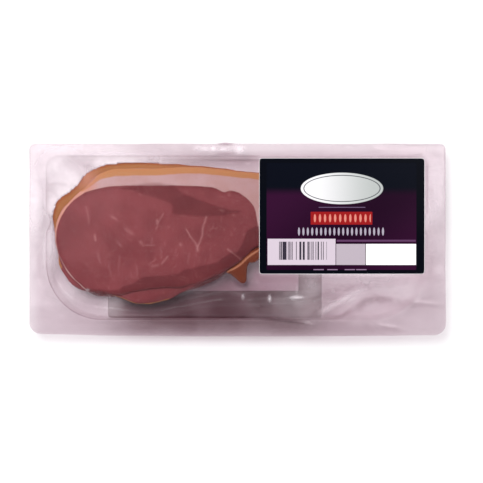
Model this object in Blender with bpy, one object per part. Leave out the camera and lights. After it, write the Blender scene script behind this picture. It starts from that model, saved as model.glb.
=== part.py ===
"""A sealed, clear vacuum pack of back bacon rashers, lying on its back.

The pack is one closed body: a shallow tray with a flat flange, and a lid film that clings to the
stack of rashers and dips into the tray around it. The front label lies on the lid, and the rear
label lies in the floor of the tray. Run it in Blender with: blender --background --python part.py

Frame: +X along the pack's length, towards the label; +Y across it, towards the rind edge; +Z up.
The origin is the middle of the pack's outline, on the surface that it rests on.
"""

import math

import bmesh
import bpy
from mathutils import Vector

MM = 0.001

# Flange: the flat sealed rim of both films.
PACK_LENGTH = 260 * MM
PACK_WIDTH = 120 * MM
FLANGE_RADII = (3.5 * MM, 3.5 * MM, 7.5 * MM, 7.5 * MM)
FLANGE_BOTTOM = 13.4 * MM
FLANGE_THICKNESS = 0.6 * MM

# Tray: the formed pocket in the lower film.
POCKET_LENGTH = 238 * MM
POCKET_WIDTH = 102.6 * MM
POCKET_MIDDLE = Vector((-0.3 * MM, 1.7 * MM))
POCKET_RADII = (8 * MM, 8 * MM, 35 * MM, 35 * MM)
POCKET_DRAFT = 1.2 * MM
FLOOR_FILLET = 0.9 * MM
NOTCH_DEPTH = 2.6 * MM
NOTCH_LENGTH = 17 * MM
NOTCH_Y = 12 * MM

# Rashers under the lid. FILM_OVER is how far the film stands outside the meat.
RASHER_COUNT = 8
RASHER_THICKNESS = 1.85 * MM
RASHER_EDGE = 0.5 * MM
FILM_OVER = 0.5 * MM
STACK_BOTTOM = 0.5 * MM

# Labels.
FRONT_LABEL_SIZE = Vector((103.0 * MM, 72.2 * MM))
FRONT_LABEL_MIDDLE = Vector((65.0 * MM, 15.2 * MM))
FRONT_LABEL_RADIUS = 1.6 * MM
REAR_LABEL_SIZE = Vector((135 * MM, 78 * MM))
REAR_LABEL_MIDDLE = Vector((-14.4 * MM, -7.8 * MM))
REAR_LABEL_RADIUS = 2 * MM
LABEL_THICKNESS = 0.35 * MM
LABEL_GAP = 0.3 * MM
LAND_MARGIN = 1.2 * MM
LAND_SLOPE = 14 * MM

ARC_STEPS = 6
SIDE_STEPS = 12
OUTLINE_STEPS = 3

# One rasher seen from above, in millimetres from the pack's middle, anticlockwise from the tail's
# tip: the tail and the rind edge, the round eye at the left, and back along the lean edge.
RASHER_MM = (
    (103.8, 13.0), (98.0, 27.0), (82.0, 33.0), (45.0, 37.5), (8.0, 41.5), (-24.0, 44.5),
    (-55.0, 45.5), (-78.0, 44.5), (-88.5, 37.5), (-99.0, 29.0), (-107.5, 19.5), (-112.5, 8.0),
    (-113.2, -2.5), (-109.5, -13.5), (-102.0, -24.0), (-92.5, -31.5), (-78.0, -33.2),
    (-58.0, -33.0), (-38.0, -30.0), (-20.0, -24.5), (-4.0, -16.0), (8.0, -9.0), (24.0, -4.5),
    (60.0, -2.0), (94.0, 1.0),
)
RASHER_CENTRE = Vector((-30 * MM, 6 * MM))

# How each rasher lies on the one below, from the bottom up: shift in X and Y, and turn.
RASHER_LIES = (
    (5.5 * MM, 0.5 * MM, 0.0),
    (4.5 * MM, -1.5 * MM, 0.6),
    (3.0 * MM, 1.0 * MM, -0.5),
    (2.0 * MM, -3.0 * MM, 0.4),
    (3.5 * MM, -6.2 * MM, -0.6),
    (-1.8 * MM, -2.2 * MM, 0.5),
    (-1.8 * MM, 3.4 * MM, 0.3),
    (0.0 * MM, 0.0 * MM, 0.0),
)

# The end of a lower rasher's tail, folded back and showing at the lean edge.
FLAP_MM = ((-9.0, -8.0), (12.0, -7.0), (10.5, -17.0), (7.5, -25.0), (3.0, -25.5), (-2.5, -18.0))
FLAP_BOTTOM = 5.5 * MM
FLAP_TOP = 8.6 * MM


# ---------------------------------------------------------------- outlines


def rounded_rectangle(middle, length, width, radii, notch=0.0):
    """Anticlockwise outline from the upper right corner, with the same number of points whatever
    its size. notch moves the middle of both short sides inwards, as a smooth dent."""
    half = Vector((length / 2, width / 2))
    signs = ((1, 1), (-1, 1), (-1, -1), (1, -1))
    corners = []
    for corner, (sx, sy) in enumerate(signs):
        radius = radii[corner]
        centre = middle + Vector((sx * (half.x - radius), sy * (half.y - radius)))
        start = corner * math.pi / 2
        arc = []
        for step in range(ARC_STEPS + 1):
            angle = start + math.pi / 2 * step / ARC_STEPS
            arc.append(centre + radius * Vector((math.cos(angle), math.sin(angle))))
        corners.append(arc)
    outline = []
    for corner, arc in enumerate(corners):
        following = corners[(corner + 1) % 4][0]
        outline.extend(arc)
        for step in range(1, SIDE_STEPS):
            point = arc[-1].lerp(following, step / SIDE_STEPS)
            if corner % 2 == 1 or corner == 3:
                point.x -= math.copysign(notch * dent(point.y), point.x)
            outline.append(point)
    return outline


def dent(y):
    """How deep the notch is at this Y, from 0 to 1."""
    away = abs(y - NOTCH_Y) / (NOTCH_LENGTH / 2)
    return 0.5 + 0.5 * math.cos(math.pi * away) if away < 1 else 0.0


def smooth_closed(points, steps):
    """A closed Catmull-Rom curve through the points."""
    found = []
    count = len(points)
    for i in range(count):
        before, here, after, beyond = (points[(i + k) % count] for k in (-1, 0, 1, 2))
        for step in range(steps):
            t = step / steps
            found.append(
                0.5
                * (
                    2 * here
                    + (after - before) * t
                    + (2 * before - 5 * here + 4 * after - beyond) * t * t
                    + (3 * here - before - 3 * after + beyond) * t**3
                )
            )
    return found


def offset(outline, distance):
    """The outline moved outwards by distance, or inwards if it is negative."""
    count = len(outline)
    moved = []
    for i, point in enumerate(outline):
        along = (outline[(i + 1) % count] - outline[i - 1]).normalized()
        moved.append(point + distance * Vector((along.y, -along.x)))
    return moved


def in_metres(points_mm):
    return [Vector(point) * MM for point in points_mm]


def rasher_outline(lie):
    """The outline of one rasher, turned about the eye and shifted as it lies in the stack."""
    shift_x, shift_y, turn = lie
    cosine = math.cos(math.radians(turn))
    sine = math.sin(math.radians(turn))
    placed = []
    for point in in_metres(RASHER_MM):
        away = point - RASHER_CENTRE
        turned = Vector((cosine * away.x - sine * away.y, sine * away.x + cosine * away.y))
        placed.append(RASHER_CENTRE + turned + Vector((shift_x, shift_y)))
    return smooth_closed(placed, OUTLINE_STEPS)


# ---------------------------------------------------------------- Blender helpers


def clear_scene():
    for obj in list(bpy.data.objects):
        bpy.data.objects.remove(obj)


def collection(name):
    made = bpy.data.collections.new(name)
    bpy.context.scene.collection.children.link(made)
    return made


def material(name, colour, roughness, alpha=1.0):
    made = bpy.data.materials.new(name)
    made.use_nodes = True
    shader = made.node_tree.nodes["Principled BSDF"]
    shader.inputs["Base Color"].default_value = (*colour, 1.0)
    shader.inputs["Roughness"].default_value = roughness
    shader.inputs["Metallic"].default_value = 0.0
    shader.inputs["Alpha"].default_value = alpha
    return made


def loft(name, sections, home):
    """A closed body through sections of (outline, height), all with as many points."""
    mesh = bmesh.new()
    rings = [[mesh.verts.new((*point, height)) for point in outline] for outline, height in sections]
    for lower, upper in zip(rings, rings[1:]):
        for i in range(len(lower)):
            mesh.faces.new((lower[i - 1], lower[i], upper[i], upper[i - 1]))
    mesh.faces.new(reversed(rings[0]))
    mesh.faces.new(rings[-1])
    bmesh.ops.recalc_face_normals(mesh, faces=mesh.faces)
    data = bpy.data.meshes.new(name)
    mesh.to_mesh(data)
    mesh.free()
    made = bpy.data.objects.new(name, data)
    home.objects.link(made)
    return made


def as_cutter(helper):
    helper.hide_render = True
    helper.display_type = "WIRE"
    return helper


def boolean(target, helper, operation):
    modifier = target.modifiers.new(f"{operation.lower()}_{helper.name}", "BOOLEAN")
    modifier.operation = operation
    modifier.solver = "EXACT"
    modifier.object = as_cutter(helper)


def shade(target, finish):
    target.data.materials.append(finish)
    target.data.shade_smooth()
    target.data.set_sharp_from_angle(angle=math.radians(35))


def plate(name, middle, size, radius, bottom, home):
    """A thin label with rounded corners."""
    outline = rounded_rectangle(middle, size.x, size.y, (radius,) * 4)
    return loft(name, ((outline, bottom), (outline, bottom + LABEL_THICKNESS)), home)


# ---------------------------------------------------------------- the pack


def pocket_outline(inset):
    """The tray's rim moved inwards by inset."""
    radii = [max(radius - inset, 3 * MM) for radius in POCKET_RADII]
    return rounded_rectangle(
        POCKET_MIDDLE,
        POCKET_LENGTH - 2 * inset,
        POCKET_WIDTH - 2 * inset,
        radii,
        notch=NOTCH_DEPTH,
    )


def make_tray(home):
    """The formed lower film and the lid film that is drawn down into it: out from the floor, up
    the walls, round the flange, and down again to the bottom of the trench."""
    flange = rounded_rectangle(Vector((0, 0)), PACK_LENGTH, PACK_WIDTH, FLANGE_RADII)
    flange_top = FLANGE_BOTTOM + FLANGE_THICKNESS
    sections = (
        (pocket_outline(POCKET_DRAFT + FLOOR_FILLET), 0.0),
        (pocket_outline(POCKET_DRAFT + 0.3 * FLOOR_FILLET), 0.3 * FLOOR_FILLET),
        (pocket_outline(POCKET_DRAFT), FLOOR_FILLET),
        (pocket_outline(0.0), FLANGE_BOTTOM),
        (flange, FLANGE_BOTTOM),
        (flange, flange_top),
        (pocket_outline(0.8 * MM), flange_top),
        (pocket_outline(2.5 * MM), flange_top - 1.4 * MM),
        (pocket_outline(6.5 * MM), 6.0 * MM),
        (pocket_outline(10 * MM), 3.6 * MM),
        (pocket_outline(14 * MM), 2.8 * MM),
    )
    return loft("sealed_pack", sections, home)


def make_slab(name, outline, bottom, top, home):
    """A flat slice with eased edges, as thick as the film around it makes it."""
    wall = offset(outline, FILM_OVER)
    eased = offset(outline, FILM_OVER - RASHER_EDGE)
    sections = (
        (eased, bottom),
        (wall, bottom + RASHER_EDGE),
        (wall, top - RASHER_EDGE),
        (eased, top),
    )
    return loft(name, sections, home)


def make_skirt(home):
    """The lid film sloping away from the foot of the stack."""
    outline = smooth_closed(in_metres(RASHER_MM), OUTLINE_STEPS)
    foot = 1.5 * MM
    sections = (
        (offset(outline, 7.0 * MM), foot),
        (offset(outline, 6.5 * MM), foot + 1.6 * MM),
        (offset(outline, 4.2 * MM), foot + 3.6 * MM),
        (offset(outline, 2.0 * MM), foot + 7.0 * MM),
    )
    return loft("lid_skirt", sections, home)


def make_label_land(top, home):
    """The taut, level part of the lid that carries the front label, sloping down to the trench."""
    size = FRONT_LABEL_SIZE + Vector((2 * LAND_MARGIN, 2 * LAND_MARGIN))
    foot_radii = (6 * MM, 3 * MM, 5 * MM, 9 * MM)
    top_radii = (3 * MM, 2 * MM, 2 * MM, 3 * MM)

    def reaching(share, radii):
        """The land's outline with its lower edge moved out by a share of the slope."""
        more = share * LAND_SLOPE
        middle = FRONT_LABEL_MIDDLE - Vector((0, more / 2))
        return rounded_rectangle(middle, size.x, size.y + more, radii)

    sections = (
        (reaching(1.0, foot_radii), 1.5 * MM),
        (reaching(0.95, foot_radii), 3.6 * MM),
        (reaching(0.6, foot_radii), 7.0 * MM),
        (reaching(0.1, foot_radii), top - 1.6 * MM),
        (reaching(0.0, top_radii), top),
    )
    return loft("label_land", sections, home)


def make_pocket_room(home):
    """The space inside the tray's walls, and above it: what is under the lid stays in here."""
    wall = 0.4 * MM
    sections = (
        (pocket_outline(POCKET_DRAFT + FLOOR_FILLET + wall), wall),
        (pocket_outline(POCKET_DRAFT + wall), FLOOR_FILLET + wall),
        (pocket_outline(wall), FLANGE_BOTTOM),
        (pocket_outline(wall), FLANGE_BOTTOM + 5 * MM),
    )
    return loft("pocket_room", sections, home)


def build():
    clear_scene()
    parts = collection("bacon_pack")
    helpers = collection("helpers")
    film = material("clear_film", (0.80, 0.72, 0.76), 0.12, alpha=0.45)
    printed = material("front_print", (0.020, 0.006, 0.022), 0.30)
    paper = material("rear_paper", (0.82, 0.80, 0.80), 0.55)

    contents = make_skirt(helpers)
    for number, lie in enumerate(RASHER_LIES, start=1):
        bottom = STACK_BOTTOM + (number - 1) * RASHER_THICKNESS
        top = bottom + RASHER_THICKNESS + FILM_OVER / 2
        slab = make_slab(f"rasher_{number}", rasher_outline(lie), bottom, top, helpers)
        boolean(contents, slab, "UNION")
    flap = list(reversed(smooth_closed(in_metres(FLAP_MM), OUTLINE_STEPS)))
    boolean(contents, make_slab("tail_flap", flap, FLAP_BOTTOM, FLAP_TOP, helpers), "UNION")
    land_top = STACK_BOTTOM + RASHER_COUNT * RASHER_THICKNESS + 0.6 * FILM_OVER
    boolean(contents, make_label_land(land_top, helpers), "UNION")
    boolean(contents, make_pocket_room(helpers), "INTERSECT")

    pack = make_tray(parts)
    boolean(pack, contents, "UNION")

    recess_size = REAR_LABEL_SIZE + Vector((2 * LABEL_GAP, 2 * LABEL_GAP))
    recess = rounded_rectangle(
        REAR_LABEL_MIDDLE, recess_size.x, recess_size.y, (REAR_LABEL_RADIUS + LABEL_GAP,) * 4
    )
    depth = LABEL_THICKNESS + LABEL_GAP
    cutter = loft("rear_recess", ((recess, -2 * MM), (recess, depth)), helpers)
    boolean(pack, cutter, "DIFFERENCE")
    shade(pack, film)

    front = plate(
        "front_label",
        FRONT_LABEL_MIDDLE,
        FRONT_LABEL_SIZE,
        FRONT_LABEL_RADIUS,
        land_top + LABEL_GAP,
        parts,
    )
    shade(front, printed)
    rear = plate("rear_label", REAR_LABEL_MIDDLE, REAR_LABEL_SIZE, REAR_LABEL_RADIUS, 0.0, parts)
    shade(rear, paper)


build()
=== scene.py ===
"""The looks of a sealed, clear pack of back bacon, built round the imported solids.

Two clear films hold eight rashers: a formed lower film with a flat rim, and a lid film drawn down
over the stack. A printed label lies on the lid, and another one under the tray.

Shapes are worked out in millimetres, in the frame's own axes, and written to Blender in metres.
"""

import math

import bpy
import numpy as np
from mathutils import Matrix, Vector
from mathutils.geometry import delaunay_2d_cdt
from mathutils.kdtree import KDTree


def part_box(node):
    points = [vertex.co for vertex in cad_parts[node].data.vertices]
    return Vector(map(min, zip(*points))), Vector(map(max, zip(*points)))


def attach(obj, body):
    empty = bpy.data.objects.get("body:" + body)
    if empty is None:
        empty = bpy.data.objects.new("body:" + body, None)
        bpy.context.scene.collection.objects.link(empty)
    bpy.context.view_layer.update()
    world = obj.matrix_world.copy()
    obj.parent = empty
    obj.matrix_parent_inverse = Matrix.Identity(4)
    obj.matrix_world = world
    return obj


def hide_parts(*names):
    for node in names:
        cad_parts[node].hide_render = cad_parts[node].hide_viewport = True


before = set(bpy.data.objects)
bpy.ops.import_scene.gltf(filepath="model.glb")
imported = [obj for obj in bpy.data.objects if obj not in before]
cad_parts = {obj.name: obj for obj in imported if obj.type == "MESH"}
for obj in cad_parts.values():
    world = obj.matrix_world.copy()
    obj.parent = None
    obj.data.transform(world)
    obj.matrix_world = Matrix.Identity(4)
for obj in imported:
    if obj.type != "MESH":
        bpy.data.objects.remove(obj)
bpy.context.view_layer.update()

MM = 0.001


def box_mm(node):
    """(lowest corner, highest corner) of a CAD node, in millimetres."""
    low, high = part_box(node)
    return np.array(low) / MM, np.array(high) / MM


PACK_LOW, PACK_HIGH = box_mm("sealed_pack")
FRONT_LOW, FRONT_HIGH = box_mm("front_label")
REAR_LOW, REAR_HIGH = box_mm("rear_label")
REAR_LOW[1] = -48.9

# Films.
FILM = 0.12
RIM_TOP = 14.0
RIM_RADII = (3.5, 3.5, 7.5, 7.5)
POCKET_SIZE = (238.0, 102.6)
POCKET_MIDDLE = (-0.3, 1.7)
POCKET_RADII = (8.0, 8.0, 35.0, 35.0)
POCKET_DRAFT = 1.2
FLOOR_FILLET = 0.9
FLOOR_TOP = 0.5
NOTCH_DEPTH = 2.6
NOTCH_LENGTH = 17.0
NOTCH_Y = 12.0
LAND_TOP = 15.6
LAND_MARGIN = 1.0
SUCTION = 0.16  # how sharply the lid film curves down where nothing holds it up, per mm

# Rashers.
RASHER_THICKNESS = 1.84
STACK_BOTTOM = 0.62
BRIDGING = 0.85

# One rasher from above, anticlockwise from the tip of its tail: rind edge, round eye, lean edge.
RASHER = (
    (103.8, 13.0), (98.0, 27.0), (82.0, 33.0), (45.0, 37.5), (8.0, 41.5), (-24.0, 44.5),
    (-55.0, 45.5), (-78.0, 44.5), (-88.5, 37.5), (-99.0, 29.0), (-107.5, 19.5), (-112.5, 8.0),
    (-113.2, -2.5), (-109.5, -13.5), (-102.0, -24.0), (-92.5, -31.5), (-78.0, -33.2),
    (-58.0, -33.0), (-38.0, -30.0), (-20.0, -24.5), (-4.0, -16.0), (8.0, -9.0), (24.0, -4.5),
    (60.0, -2.0), (94.0, 1.0),
)
# The two topmost rashers, which show most.
SECOND_RASHER = (
    (103.0, 16.0), (97.0, 30.0), (80.0, 36.5), (45.0, 40.0), (11.7, 42.8), (-1.6, 44.0),
    (-10.5, 45.5), (-21.3, 46.5), (-32.8, 47.5), (-46.2, 48.4), (-59.5, 49.0), (-68.5, 48.9),
    (-77.4, 48.4), (-83.8, 47.1), (-89.2, 44.9), (-93.8, 42.4), (-96.8, 39.4), (-100.2, 34.8),
    (-105.0, 30.8), (-110.4, 26.8), (-113.6, 22.6), (-115.2, 17.6), (-115.3, 12.5),
    (-114.2, 5.0), (-112.8, -3.0), (-112.1, -9.5), (-112.0, -13.2), (-110.8, -17.0),
    (-107.4, -22.6), (-103.3, -27.5), (-98.3, -31.0), (-91.5, -32.4), (-83.0, -33.4),
    (-76.4, -34.8), (-71.0, -36.6), (-67.0, -38.4), (-62.2, -39.8), (-55.0, -39.6),
    (-49.6, -38.7), (-42.7, -36.7), (-36.5, -33.6), (-28.4, -29.9), (-18.0, -24.2),
    (-8.0, -17.2), (4.0, -8.4), (14.0, -3.4), (24.0, -1.5), (60.0, 0.0), (94.0, 3.0),
)
TOP_RASHER = (
    (103.8, 13.0), (98.0, 27.0), (82.0, 33.5), (45.0, 38.5), (11.5, 42.1), (-1.6, 43.3),
    (-10.9, 44.6), (-21.5, 45.5), (-32.7, 46.0), (-42.1, 45.5), (-50.8, 45.0), (-59.5, 44.9),
    (-68.9, 44.9), (-78.9, 44.2), (-83.9, 42.6), (-88.0, 40.2), (-91.0, 37.0), (-94.2, 33.8),
    (-99.6, 29.4), (-104.6, 24.8), (-109.6, 18.6), (-112.8, 10.5), (-113.9, 1.6),
    (-112.4, -7.0), (-109.4, -14.0), (-104.6, -21.4), (-99.2, -26.8), (-93.4, -31.6),
    (-84.5, -32.2), (-76.4, -34.2), (-71.6, -33.8), (-63.9, -32.0), (-53.3, -30.4),
    (-46.0, -29.7), (-35.4, -29.4), (-28.4, -27.8), (-20.3, -25.2), (-9.6, -20.4),
    (-2.0, -15.6), (5.8, -9.8), (11.4, -4.4), (24.0, -2.5), (60.0, -1.5), (94.0, 1.0),
)

# The lean eye, and the streak of lean in the tail. Both run past the rasher's lean edge.
EYE = (
    (-112.9, 1.6), (-111.8, -7.2), (-108.4, -14.6), (-103.4, -21.8), (-98.2, -27.0),
    (-91.0, -33.0), (-83.0, -36.0), (-71.0, -37.0), (-60.0, -36.0), (-47.0, -34.0),
    (-37.9, -33.0), (-28.0, -31.5), (-18.0, -29.0), (-6.0, -23.5), (4.0, -18.0),
    (12.6, -10.0), (13.4, 3.0), (12.7, 9.7), (10.9, 19.5), (7.4, 24.8), (2.0, 29.0),
    (-4.2, 31.2), (-8.7, 30.2), (-15.9, 33.2), (-33.6, 34.2), (-51.4, 34.2), (-75.5, 34.0),
    (-89.6, 31.6), (-97.6, 28.2), (-106.2, 20.6), (-111.8, 9.7),
)
TAIL_STREAK = (
    (22.0, 8.0), (36.0, 4.0), (58.0, 3.5), (80.0, 5.5), (96.0, 11.0), (91.0, 18.0),
    (72.0, 20.5), (48.0, 21.0), (30.0, 18.0),
)


# ---------------------------------------------------------------- outlines, in millimetres


def smooth_closed(points, steps=4):
    """A closed Catmull-Rom curve through the points."""
    here = np.asarray(points, float)
    before, after, beyond = (np.roll(here, -k, axis=0) for k in (-1, 1, 2))
    t = (np.arange(steps) / steps)[None, :, None]
    here, before, after, beyond = (part[:, None, :] for part in (here, before, after, beyond))
    curve = 0.5 * (
        2 * here
        + (after - before) * t
        + (2 * before - 5 * here + 4 * after - beyond) * t**2
        + (3 * here - before - 3 * after + beyond) * t**3
    )
    return curve.reshape(-1, 2)


def smooth_open(points, steps=6):
    """A Catmull-Rom curve from the first point to the last."""
    points = np.asarray(points, float)
    padded = np.vstack((2 * points[0] - points[1], points, 2 * points[-1] - points[-2]))
    curve = []
    for before, here, after, beyond in zip(padded, padded[1:], padded[2:], padded[3:]):
        for step in range(steps):
            t = step / steps
            curve.append(
                0.5
                * (
                    2 * here
                    + (after - before) * t
                    + (2 * before - 5 * here + 4 * after - beyond) * t**2
                    + (3 * here - before - 3 * after + beyond) * t**3
                )
            )
    return np.vstack((curve, points[-1]))


def evenly(outline, spacing):
    """The closed outline again, with points about as far apart as spacing."""
    ends = np.roll(outline, -1, axis=0)
    lengths = np.linalg.norm(ends - outline, axis=1)
    reached = np.concatenate(([0.0], np.cumsum(lengths)))
    count = max(8, int(round(reached[-1] / spacing)))
    wanted = np.arange(count) * reached[-1] / count
    closed = np.vstack((outline, outline[:1]))
    return np.column_stack([np.interp(wanted, reached, closed[:, axis]) for axis in (0, 1)])


def outward(outline):
    """The outward unit vector at each point of an anticlockwise outline."""
    along = np.roll(outline, -1, axis=0) - np.roll(outline, 1, axis=0)
    along /= np.linalg.norm(along, axis=1)[:, None]
    return np.column_stack((along[:, 1], -along[:, 0]))


def offset(outline, distance):
    return outline + distance * outward(outline)


def to_segments(points, line, closed=True):
    """Distance from each point to the line, and the nearest segment's number and share."""
    tree = KDTree(len(line))
    for number, (x, y) in enumerate(line):
        tree.insert((x, y, 0), number)
    tree.balance()
    nearest = np.array([tree.find((x, y, 0))[1] for x, y in points], int)
    count = len(line)
    found = None
    for first in (nearest - 1, nearest):
        first = first % count if closed else np.clip(first, 0, count - 2)
        start = line[first]
        step = line[(first + 1) % count] - start
        square = np.maximum((step**2).sum(1), 1e-12)
        share = np.clip(((points - start) * step).sum(1) / square, 0, 1)
        gap = np.linalg.norm(points - start - share[:, None] * step, axis=1)
        if found is None:
            found = [gap, first, share]
            continue
        closer = gap < found[0]
        found = [np.where(closer, new, old) for new, old in zip((gap, first, share), found)]
    return found


def is_inside(points, outline):
    """Whether each point is inside the closed outline, by counting crossings."""
    inside = np.zeros(len(points), bool)
    for (x0, y0), (x1, y1) in zip(outline, np.roll(outline, -1, axis=0)):
        if y0 == y1:
            continue
        spans = (points[:, 1] < y0) != (points[:, 1] < y1)
        crossing = x0 + (points[:, 1] - y0) * (x1 - x0) / (y1 - y0)
        inside ^= spans & (points[:, 0] < crossing)
    return inside


def depth_in(points, outline):
    """How far inside the closed outline each point is; negative outside."""
    distance = to_segments(points, outline)[0]
    return np.where(is_inside(points, outline), distance, -distance)


def smoothstep(values, low, high):
    t = np.clip((values - low) / (high - low), 0, 1)
    return t * t * (3 - 2 * t)


def wander(points, size, seed):
    """Smooth noise from about -1 to 1, with features about as large as size."""
    turns = np.random.default_rng(int(seed)).uniform(0, 2 * math.pi, (64, 64))
    place = np.asarray(points, float) / size
    cell = np.floor(place).astype(int)
    part = place - cell
    fade = part**3 * (part * (part * 6 - 15) + 10)
    total = np.zeros(len(place))
    for dx in (0, 1):
        for dy in (0, 1):
            turn = turns[(cell[:, 0] + dx) % 64, (cell[:, 1] + dy) % 64]
            slope = np.cos(turn) * (part[:, 0] - dx) + np.sin(turn) * (part[:, 1] - dy)
            weight_x = fade[:, 0] if dx else 1 - fade[:, 0]
            weight_y = fade[:, 1] if dy else 1 - fade[:, 1]
            total += slope * weight_x * weight_y
    return 1.6 * total


def dent(y):
    """How deep the side notch is at this Y, from 0 to 1."""
    away = np.clip(np.abs(y - NOTCH_Y) / (NOTCH_LENGTH / 2), 0, 1)
    return 0.5 + 0.5 * np.cos(math.pi * away)


def rounded_rectangle(middle, size, radii, notch=0.0):
    """Anticlockwise outline from the upper right corner."""
    half_x, half_y = size[0] / 2, size[1] / 2
    outline = []
    for corner, (sx, sy) in enumerate(((1, 1), (-1, 1), (-1, -1), (1, -1))):
        radius = radii[corner]
        centre = np.array((sx * (half_x - radius), sy * (half_y - radius)))
        steps = max(4, int(radius * 1.2))
        for step in range(steps + 1):
            angle = (corner + step / steps) * math.pi / 2
            outline.append(centre + radius * np.array((math.cos(angle), math.sin(angle))))
    outline = evenly(np.array(outline), 1.2) + np.asarray(middle, float)
    if notch:
        side = np.sign(outline[:, 0] - middle[0])
        near_side = np.abs(outline[:, 0] - middle[0]) > half_x - 1e-3
        outline[:, 0] -= np.where(near_side, side * notch * dent(outline[:, 1]), 0)
    return outline


def rounded_depth(points, middle, size, radii, notch=0.0):
    """How far inside a rounded rectangle each point is; negative outside."""
    x, y = (np.asarray(points, float) - middle).T
    if notch:
        x = x + np.sign(x) * notch * dent(points[:, 1])
    upper_right, upper_left, lower_left, lower_right = radii
    radius = np.where(
        y > 0, np.where(x > 0, upper_right, upper_left), np.where(x > 0, lower_right, lower_left)
    )
    across = np.abs(x) - size[0] / 2 + radius
    up = np.abs(y) - size[1] / 2 + radius
    corner = np.hypot(np.maximum(across, 0), np.maximum(up, 0))
    return radius - corner - np.minimum(np.maximum(across, up), 0)


def pocket_depth(points):
    return rounded_depth(points, POCKET_MIDDLE, POCKET_SIZE, POCKET_RADII, NOTCH_DEPTH)


def label_depth(points, low, high, radius, grow=0.0):
    middle = (low[:2] + high[:2]) / 2
    size = high[:2] - low[:2] + 2 * grow
    return rounded_depth(points, middle, size, (radius + grow,) * 4)


def rim_outline():
    """The pack's cut edge: its long lower edge bows out, and all edges are slightly uneven."""
    size = PACK_HIGH[:2] - PACK_LOW[:2]
    outline = rounded_rectangle((0, 0), size, RIM_RADII)
    x, y = outline.T
    along = x / (size[0] / 2)
    rise = np.where(x < 0, 1.7, 0.9) * along**2 * smoothstep(-y, 40, 60)
    uneven = 0.22 * wander(outline, 34.0, 3.1) - 0.22
    moved = outline + uneven[:, None] * outward(outline)
    moved[:, 1] += rise + 0.6 * smoothstep(y, 40, 58)
    moved[:, 1] += 0.7 * np.exp(-(((x + 7.5) / 4.0) ** 2)) * (y > 50)
    return moved


def pocket_outline(inset=0.0):
    size = np.array(POCKET_SIZE) - 2 * inset
    radii = [max(radius - inset, 2.0) for radius in POCKET_RADII]
    return rounded_rectangle(POCKET_MIDDLE, size, radii, NOTCH_DEPTH)


def label_outline(low, high, radius, grow=0.0):
    middle = (low[:2] + high[:2]) / 2
    size = high[:2] - low[:2] + 2 * grow
    return rounded_rectangle(middle, size, (radius + grow,) * 4)


# ---------------------------------------------------------------- the stack of rashers


def pulled(outline, pulls):
    """The outline with some places pulled out: each pull is x, y, reach, dx, dy."""
    moved = outline.copy()
    for x, y, reach, dx, dy in pulls:
        away = ((outline - (x, y)) ** 2).sum(1) / reach**2
        moved += np.exp(-away)[:, None] * np.array((dx, dy))
    return moved


def placed(points, shift, turn):
    """Points turned about the middle of the eye, and shifted."""
    angle = math.radians(turn)
    centre = np.array((-30.0, 6.0))
    matrix = np.array(
        ((math.cos(angle), -math.sin(angle)), (math.sin(angle), math.cos(angle)))
    )
    return (np.asarray(points, float) - centre) @ matrix.T + centre + np.array(shift)


# From the bottom up: outline, shift, turn and pulls.
STACK = (
    (RASHER, (4.5, 0.5), 0.0, ()),
    (RASHER, (3.5, -1.0), 0.6, ((-30.0, -30.0, 16.0, 0.0, -1.6),)),
    (RASHER, (2.5, 1.0), -0.5, ((20.0, -6.0, 12.0, 0.0, -2.0),)),
    (RASHER, (1.5, -0.8), 0.4, ((-86.0, -32.0, 12.0, 0.0, -1.6),)),
    (RASHER, (1.0, -0.6), -0.3, ((-60.0, -33.0, 17.0, 1.5, -5.6),)),
    (RASHER, (0.6, 0.2), 0.2, ((-58.0, -33.0, 14.0, 1.0, -3.4),)),
    (SECOND_RASHER, (0.0, 0.0), 0.0, ()),
    (TOP_RASHER, (0.0, 0.0), 0.0, ()),
)


def rasher_outline(number):
    points, shift, turn, pulls = STACK[number]
    outline = pulled(smooth_closed(placed(points, shift, turn)), pulls)
    outline = evenly(outline, 1.5)
    ragged = 0.30 * wander(outline, 9.0, 11.0 + number) + 0.14 * wander(outline, 3.0, 31.0 + number)
    return offset(outline, ragged[:, None] - 0.3)


OUTLINES = [rasher_outline(number) for number in range(len(STACK))]


def stack_heights(points):
    """For each rasher, the heights of its underside and top at the points; and the stack's top.

    Each rasher lies on those below it, and bridges most of the gaps between them.
    """
    surface = np.full(len(points), STACK_BOTTOM)
    layers = []
    for number, outline in enumerate(OUTLINES):
        depth = depth_in(points, outline)
        level = STACK_BOTTOM + number * RASHER_THICKNESS
        under = surface + BRIDGING * np.maximum(level - surface, 0)
        uneven = 1 + 0.05 * wander(points, 30.0, 50 + 3 * number)
        rounded = 0.62 + 0.38 * smoothstep(depth, -0.3, 1.6)
        top = under + RASHER_THICKNESS * uneven * rounded
        layers.append((under, top))
        surface = np.where(depth > -0.2, top, surface)
    return layers, surface


# ---------------------------------------------------------------- meshes


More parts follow.
